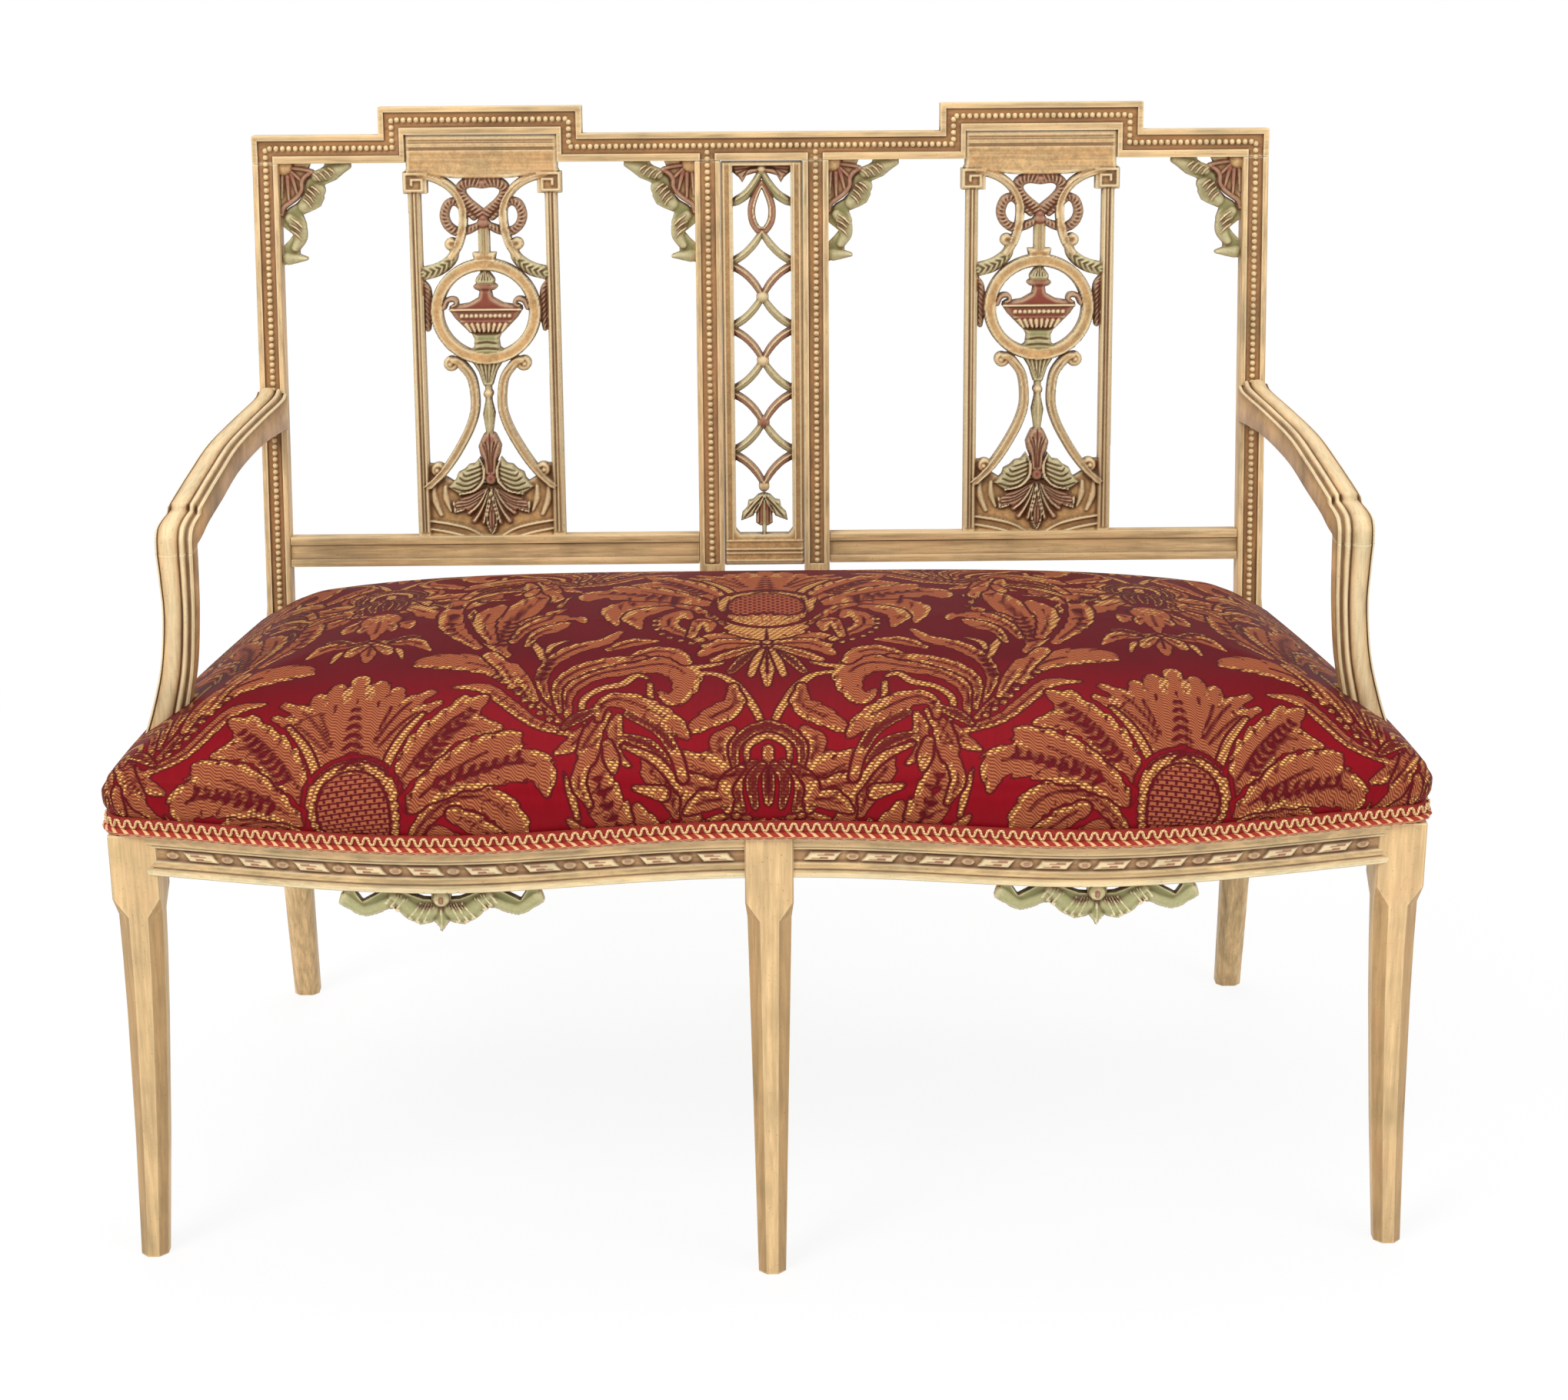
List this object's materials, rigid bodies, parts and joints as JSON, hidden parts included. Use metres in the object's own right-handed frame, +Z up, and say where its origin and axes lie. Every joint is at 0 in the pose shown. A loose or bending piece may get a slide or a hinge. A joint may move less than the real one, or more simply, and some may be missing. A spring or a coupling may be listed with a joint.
{
  "type": "double chair back settee",
  "caption": "Small painted settee with a pierced urn and lattice back, open arms, a sprung seat with a serpentine front, and tapered legs.",
  "frame": {"origin": "on the floor, at the middle of the bounding box", "axes": "+X along the length to the viewer's right, +Y to the back, +Z up; the front faces -Y"},
  "size_m": [1.126, 0.6498, 0.9415],
  "materials": {
    "painted_wood": "antique cream paint with brown glaze",
    "bare_wood": "unfinished",
    "seat_fabric": "satin damask",
    "braid": "woven braid",
    "padding": "cotton wadding over hair",
    "linen": "plain weave",
    "steel": "plain"
  },
  "bodies": {
    "root": {"crest_rail": "painted_wood", "center_stile_left": "painted_wood", "lower_back_rail_left": "painted_wood", "splat_left": "painted_wood", "corner_bracket_outer_left": "painted_wood", "corner_bracket_inner_left": "painted_wood", "center_stile_right": "painted_wood", "lower_back_rail_right": "painted_wood", "splat_right": "painted_wood", "corner_bracket_outer_right": "painted_wood", "corner_bracket_inner_right": "painted_wood", "lattice_panel": "painted_wood", "apron_bow_left": "painted_wood", "apron_bow_right": "painted_wood", "front_leg_center": "painted_wood", "rear_rail": "painted_wood", "rear_leg_center": "painted_wood", "seat_brace_center": "bare_wood", "front_leg_left": "painted_wood", "block_screw_front_left_1": "steel", "block_screw_front_left_2": "steel", "block_screw_rear_left_1": "steel", "block_screw_rear_left_2": "steel", "arm_screw_left": "steel", "front_rail_left": "painted_wood", "side_rail_left": "painted_wood", "back_post_left": "painted_wood", "corner_block_front_left": "bare_wood", "corner_block_rear_left": "bare_wood", "arm_left": "painted_wood", "arm_support_left": "painted_wood", "front_leg_right": "painted_wood", "block_screw_front_right_1": "steel", "block_screw_front_right_2": "steel", "block_screw_rear_right_1": "steel", "block_screw_rear_right_2": "steel", "arm_screw_right": "steel", "front_rail_right": "painted_wood", "side_rail_right": "painted_wood", "back_post_right": "painted_wood", "corner_block_front_right": "bare_wood", "corner_block_rear_right": "bare_wood", "arm_right": "painted_wood", "arm_support_right": "painted_wood", "seat_cover": "seat_fabric", "seat_padding": "padding", "seat_burlap": "linen", "gimp_braid": "braid", "seat_webbing": "linen", "dust_cover": "linen", "seat_spring_1": "steel", "seat_spring_2": "steel", "seat_spring_3": "steel", "seat_spring_4": "steel", "seat_spring_5": "steel", "seat_spring_6": "steel", "seat_spring_7": "steel", "seat_spring_8": "steel"}
  },
  "joints": []
}
